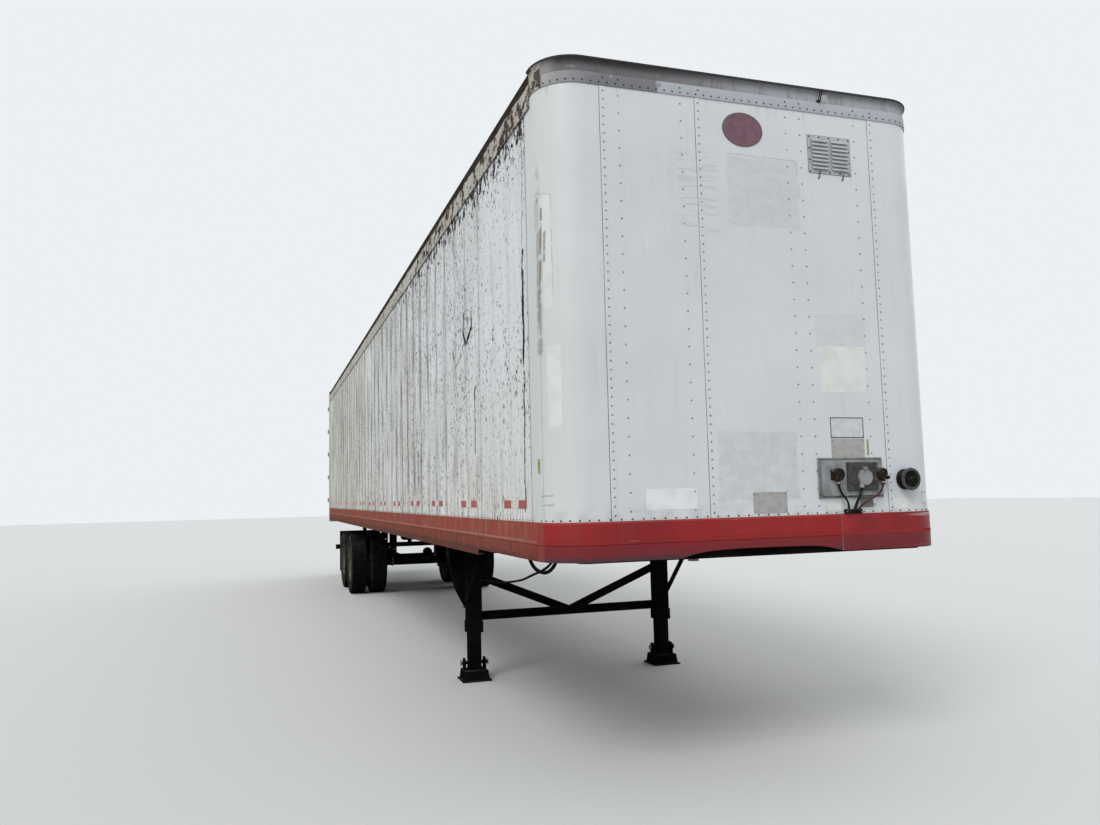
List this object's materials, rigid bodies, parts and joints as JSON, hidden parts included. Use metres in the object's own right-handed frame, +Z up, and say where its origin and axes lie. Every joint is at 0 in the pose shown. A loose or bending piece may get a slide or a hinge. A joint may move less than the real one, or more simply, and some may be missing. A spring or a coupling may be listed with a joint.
{
  "type": "semi trailer",
  "caption": "Long enclosed road trailer with a rounded red-banded nose, louvred vent, landing legs, sliding twin-wheel tandem and rear swing doors.",
  "frame": {"origin": "on the floor under the middle of the body's length and width", "axes": "+Z up; the nose faces -Y and the rear doors +Y; +X is the road side and -X the curb side"},
  "size_m": [2.647, 16.26, 4.115],
  "materials": {
    "wall_paint": "white sheet, streaked and dusty",
    "nose_red": "bright red enamel, scratched",
    "rail_faded": "chalky faded red-brown",
    "rail_metal": "weathered mill finish with a dirty seam",
    "frame_black": "dull black chassis paint with road film",
    "frame_rear": "worn white and bare metal",
    "zinc": "galvanised, dull",
    "bare_steel": "greased and worn",
    "deck_wood": "laminated hardwood, scuffed",
    "roof_sheet": "plain sheet",
    "wheel_paint": "chalky white enamel with rust and dirt",
    "tyre": "matt road rubber",
    "flap_rubber": "matt",
    "box_grey": "grey moulded box, scuffed",
    "coupling_black": "black cast couplings",
    "tube_black": "black moulded tube",
    "vent_metal": "pale enamel, dark between the louvres",
    "lead_black": "dark jacket",
    "lamp_red": "moulded lens",
    "lead_red": "brown-red jacket"
  },
  "bodies": {
    "trailer": {"floor_deck": "deck_wood", "cross_members": "frame_black", "side_walls": "wall_paint", "front_wall": "wall_paint", "side_rails": "rail_faded", "nose_rail": "nose_red", "top_rails": "rail_metal", "front_top_rail": "rail_metal", "roof_sheet": "roof_sheet", "roof_bows": "rail_metal", "rear_frame": "frame_rear", "upper_coupler": "frame_black", "kingpin": "bare_steel", "leg_housings": "frame_black", "leg_tubes": "frame_black", "leg_braces": "frame_black", "leg_struts": "frame_black", "crank_gear": "frame_black", "crank_handle": "bare_steel", "slide_rails": "frame_black", "underride_guard": "frame_black", "louvred_vent": "vent_metal", "connector_box": "box_grey", "gladhands": "coupling_black", "document_tube": "tube_black", "lead_grommet": "coupling_black", "tail_lamps": "lamp_red", "lead_service": "lead_black", "lead_electric": "lead_black", "lead_emergency": "lead_red", "nose_hose": "lead_black", "leg_cable": "lead_black"},
    "tandem": {"bogie_frame": "frame_black", "air_tank": "frame_black", "mud_flaps": "flap_rubber", "leaf_springs": "frame_black", "equalizers": "frame_black", "torque_arms": "frame_black", "axles": "frame_black"},
    "door_curb": {"door_panel_curb": "wall_paint", "door_straps_curb": "zinc", "lock_rods_curb": "zinc"},
    "door_road": {"door_panel_road": "wall_paint", "door_straps_road": "zinc", "lock_rods_road": "zinc"},
    "duals_front_curb": {"wheel_front_curb": "wheel_paint", "tyres_front_curb": "tyre"},
    "duals_front_road": {"wheel_front_road": "wheel_paint", "tyres_front_road": "tyre"},
    "duals_rear_curb": {"wheel_rear_curb": "wheel_paint", "tyres_rear_curb": "tyre"},
    "duals_rear_road": {"wheel_rear_road": "wheel_paint", "tyres_rear_road": "tyre"}
  },
  "joints": [
    {"name": "door_swing_curb", "type": "hinge", "parent": "trailer", "child": "door_curb", "pos_m": [-1.3095, 8.119, 2.692], "axis": [0, 0, 1], "range_deg": [0, 270]},
    {"name": "door_swing_road", "type": "hinge", "parent": "trailer", "child": "door_road", "pos_m": [1.3095, 8.119, 2.692], "axis": [0, 0, -1], "range_deg": [0, 270]},
    {"name": "tandem_slide", "type": "slide", "parent": "trailer", "child": "tandem", "axis": [0, 1, 0], "range_m": [-0.3, 2.15]},
    {"name": "wheel_spin_front_curb", "type": "hinge", "parent": "tandem", "child": "duals_front_curb", "pos_m": [-0.96, 3.5995, 0.52], "axis": [1, 0, 0], "continuous": true},
    {"name": "wheel_spin_front_road", "type": "hinge", "parent": "tandem", "child": "duals_front_road", "pos_m": [0.96, 3.5995, 0.52], "axis": [1, 0, 0], "continuous": true},
    {"name": "wheel_spin_rear_curb", "type": "hinge", "parent": "tandem", "child": "duals_rear_curb", "pos_m": [-0.96, 4.8445, 0.52], "axis": [1, 0, 0], "continuous": true},
    {"name": "wheel_spin_rear_road", "type": "hinge", "parent": "tandem", "child": "duals_rear_road", "pos_m": [0.96, 4.8445, 0.52], "axis": [1, 0, 0], "continuous": true}
  ]
}
